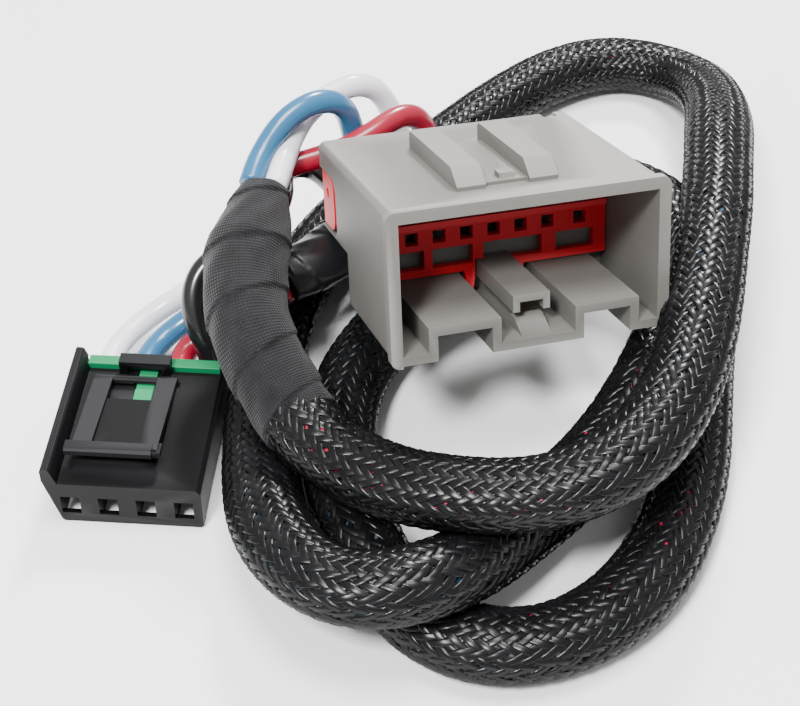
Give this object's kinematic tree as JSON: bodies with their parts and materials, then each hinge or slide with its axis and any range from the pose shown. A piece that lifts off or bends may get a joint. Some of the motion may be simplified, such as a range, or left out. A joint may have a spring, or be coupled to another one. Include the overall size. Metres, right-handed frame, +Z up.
{
  "type": "trailer brake controller wiring adapter",
  "caption": "Wiring adapter harness: a wide shrouded plug, a taped trunk, a long braided loom laid in loose coils, and a small latching socket.",
  "frame": {"origin": "on the surface it lies on, under the middle of the box round the plug and the socket", "axes": "+Z up, +X to the right along the width of the plug, -Y towards the mouths of both connectors"},
  "size_m": [0.1453, 0.1419, 0.0488],
  "materials": {
    "grey_plastic": "fine moulded grain, satin",
    "red_plastic": "smooth moulded",
    "green_plastic": "smooth moulded",
    "terminal_metal": "tinned brass, stamped",
    "insulation_black": "smooth extruded insulation",
    "insulation_blue": "smooth extruded insulation",
    "insulation_red": "smooth extruded insulation",
    "insulation_white": "smooth extruded insulation",
    "cloth_tape": "woven cloth tape, spiral wrapped",
    "vinyl_tape": "smooth tape",
    "braid": "braided monofilament",
    "black_plastic": "fine moulded grain",
    "latch_plastic": "fine moulded grain"
  },
  "bodies": {
    "harness": {"plug_housing": "grey_plastic", "plug_terminal_black": "terminal_metal", "plug_terminal_blue": "terminal_metal", "plug_terminal_red": "terminal_metal", "plug_terminal_white": "terminal_metal", "plug_wire_black": "insulation_black", "plug_wire_blue": "insulation_blue", "plug_wire_red": "insulation_red", "plug_wire_white": "insulation_white", "trunk_tape": "cloth_tape", "loom_sleeve": "braid", "sleeve_end_tape": "vinyl_tape", "socket_wire_white": "insulation_white", "socket_wire_blue": "insulation_blue", "socket_wire_red": "insulation_red", "socket_wire_black": "insulation_black", "socket_terminal_white": "terminal_metal", "socket_terminal_blue": "terminal_metal", "socket_terminal_red": "terminal_metal", "socket_terminal_black": "terminal_metal", "socket_housing": "black_plastic"},
    "plug_lock": {"plug_terminal_lock": "red_plastic"},
    "socket_lock": {"socket_terminal_lock": "green_plastic"},
    "latch": {"socket_latch": "latch_plastic"}
  },
  "joints": [
    {"name": "plug_lock_slide", "type": "slide", "parent": "harness", "child": "plug_lock", "axis": [0, -0.9415, 0.3371], "range_m": [0, 0.002]},
    {"name": "socket_lock_slide", "type": "slide", "parent": "harness", "child": "socket_lock", "axis": [0.3746, 0.9272, 0], "range_m": [0, 0.002]},
    {"name": "latch_hinge", "type": "hinge", "parent": "harness", "child": "latch", "pos_m": [-0.03154, 0.00432, 0.00895], "axis": [0.9272, -0.3746, 0], "range_deg": [0, 5], "stiffness_Nm_per_rad": 0.02}
  ]
}
